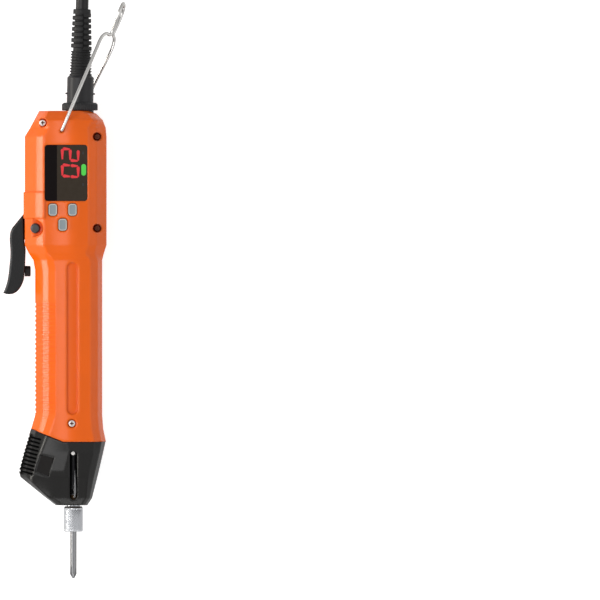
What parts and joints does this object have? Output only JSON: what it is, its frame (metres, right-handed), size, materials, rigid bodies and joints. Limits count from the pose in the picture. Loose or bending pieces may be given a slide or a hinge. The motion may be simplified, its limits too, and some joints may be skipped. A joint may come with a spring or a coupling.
{
  "type": "electric torque screwdriver",
  "caption": "Hand-held electric torque screwdriver with a start lever, digital display, planetary drive, ball clutch, quick-change bit sleeve, wire suspension bail and a detachable cord",
  "frame": {"origin": "the mouth of the bit holder, on the axis that the bit turns about", "axes": "+Y runs up the tool from the bit to the cord, +Z out of the display, +X to the tool's right seen from the display; the tool lies on its back"},
  "size_m": [0.1071, 0.4936, 0.0456],
  "materials": {
    "orange_plastic": "fine satin grain",
    "black_plastic": "satin",
    "black_rubber": "matt",
    "cord_sheath": "smooth matt",
    "smoked_window": "polished",
    "key_plastic": "soft matt",
    "board_laminate": "varnished",
    "module_plastic": "moulded",
    "bright_steel": "nickel plated",
    "dark_steel": "blackened",
    "plug_metal": "black chromated",
    "machined_steel": "machined",
    "bronze": "sintered",
    "magnet": "plated"
  },
  "bodies": {
    "tool": {"front_housing": "orange_plastic", "rear_housing": "orange_plastic", "nose_cover": "black_plastic", "far_plug_body": "black_plastic", "strain_relief": "black_rubber", "far_strain_relief": "black_rubber", "cord": "cord_sheath", "cord_coil": "cord_sheath", "display_window": "smoked_window", "display_board": "board_laminate", "control_board": "board_laminate", "display_module": "module_plastic", "tact_switches": "module_plastic", "board_parts": "module_plastic", "reversing_switch": "module_plastic", "motor_cap": "module_plastic", "silver_screws": "bright_steel", "board_screws": "bright_steel", "lever_spring": "bright_steel", "dark_screws": "dark_steel", "lever_pin": "dark_steel", "cord_socket": "plug_metal", "plug_body": "plug_metal", "far_plug_shell": "plug_metal", "clutch_spring": "machined_steel", "clutch_case": "machined_steel", "ring_gear": "machined_steel", "motor_can": "machined_steel", "motor_bearings": "machined_steel", "stator": "machined_steel", "spindle_bush": "bronze", "carrier_bush": "bronze", "windings": "bronze"},
    "lever": {"start_lever": "black_plastic", "lever_bumper": "black_rubber"},
    "key_left": {"key_left": "key_plastic"},
    "key_right": {"key_right": "key_plastic"},
    "key_lower": {"key_lower": "key_plastic"},
    "direction_knob": {"reversing_knob": "black_plastic"},
    "bail": {"suspension_bail": "bright_steel"},
    "coupling_ring": {"coupling_ring": "plug_metal"},
    "spindle": {"spindle": "machined_steel", "bit": "dark_steel", "detent_balls": "machined_steel", "retaining_clip": "machined_steel", "sleeve_spring": "machined_steel", "clutch_plate": "machined_steel", "clutch_balls": "machined_steel", "planet_carrier": "machined_steel", "planet_pins": "machined_steel"},
    "bit_sleeve": {"bit_sleeve": "bright_steel"},
    "planet_1": {"planet_gear_1": "machined_steel"},
    "planet_2": {"planet_gear_2": "machined_steel"},
    "planet_3": {"planet_gear_3": "machined_steel"},
    "rotor": {"rotor_magnet": "magnet", "motor_shaft": "machined_steel", "sun_gear": "machined_steel"},
    "torque_nut": {"torque_nut": "machined_steel"},
    "torque_seat": {"torque_seat": "machined_steel", "indicator_pin": "dark_steel"}
  },
  "joints": [
    {"name": "spindle_spin", "type": "hinge", "parent": "tool", "child": "spindle", "pos_m": [0, 0.04, 0], "axis": [0, 1, 0], "continuous": true},
    {"name": "rotor_spin", "type": "hinge", "parent": "tool", "child": "rotor", "pos_m": [0, 0.1, 0], "axis": [0, 1, 0], "continuous": true},
    {"name": "sleeve_pull", "type": "slide", "parent": "spindle", "child": "bit_sleeve", "axis": [0, -1, 0], "range_m": [0, 0.0025], "stiffness_N_per_m": 900, "springref_m": -0.001, "deforming": ["sleeve_spring"]},
    {"name": "lever_press", "type": "hinge", "parent": "tool", "child": "lever", "pos_m": [-0.0226, 0.182, 0], "axis": [0, 0, 1], "range_deg": [0, 5.5], "stiffness_Nm_per_rad": 1.2, "springref_deg": -2.86},
    {"name": "knob_slide", "type": "slide", "parent": "tool", "child": "direction_knob", "axis": [0, 0, 1], "range_m": [-0.0025, 0.0025]},
    {"name": "bail_swing", "type": "hinge", "parent": "tool", "child": "bail", "pos_m": [-0.0068, 0.2403, 0], "axis": [0, 0, 1], "range_deg": [-60, 4]},
    {"name": "ring_turn", "type": "hinge", "parent": "tool", "child": "coupling_ring", "pos_m": [0.0039, 0.255, 0], "axis": [0, 1, 0], "continuous": true},
    {"name": "nut_turn", "type": "hinge", "parent": "tool", "child": "torque_nut", "pos_m": [0, 0.028, 0], "axis": [0, 1, 0], "range_deg": [0, 1440]},
    {"name": "seat_slide", "type": "slide", "parent": "tool", "child": "torque_seat", "axis": [0, -1, 0], "range_m": [0, 0.006], "deforming": ["clutch_spring"]},
    {"name": "key_left_press", "type": "slide", "parent": "tool", "child": "key_left", "axis": [0, 0, -1], "range_m": [0, 0.0004], "stiffness_N_per_m": 800, "springref_m": -0.0006},
    {"name": "key_right_press", "type": "slide", "parent": "tool", "child": "key_right", "axis": [0, 0, -1], "range_m": [0, 0.0004], "stiffness_N_per_m": 800, "springref_m": -0.0006},
    {"name": "key_lower_press", "type": "slide", "parent": "tool", "child": "key_lower", "axis": [0, 0, -1], "range_m": [0, 0.0004], "stiffness_N_per_m": 800, "springref_m": -0.0006},
    {"name": "planet_1_spin", "type": "hinge", "parent": "spindle", "child": "planet_1", "pos_m": [0, 0.072, 0.0075], "axis": [0, 1, 0], "continuous": true},
    {"name": "planet_2_spin", "type": "hinge", "parent": "spindle", "child": "planet_2", "pos_m": [0.0065, 0.072, -0.00375], "axis": [0, 1, 0], "continuous": true},
    {"name": "planet_3_spin", "type": "hinge", "parent": "spindle", "child": "planet_3", "pos_m": [-0.0065, 0.072, -0.00375], "axis": [0, 1, 0], "continuous": true}
  ],
  "couplings": [
    {"joint": "rotor_spin", "follows": "spindle_spin", "ratio": 5},
    {"joint": "planet_1_spin", "follows": "spindle_spin", "ratio": -2.6667},
    {"joint": "planet_2_spin", "follows": "spindle_spin", "ratio": -2.6667},
    {"joint": "planet_3_spin", "follows": "spindle_spin", "ratio": -2.6667},
    {"joint": "nut_turn", "follows": "seat_slide", "rad_per_m": 4188.8}
  ]
}
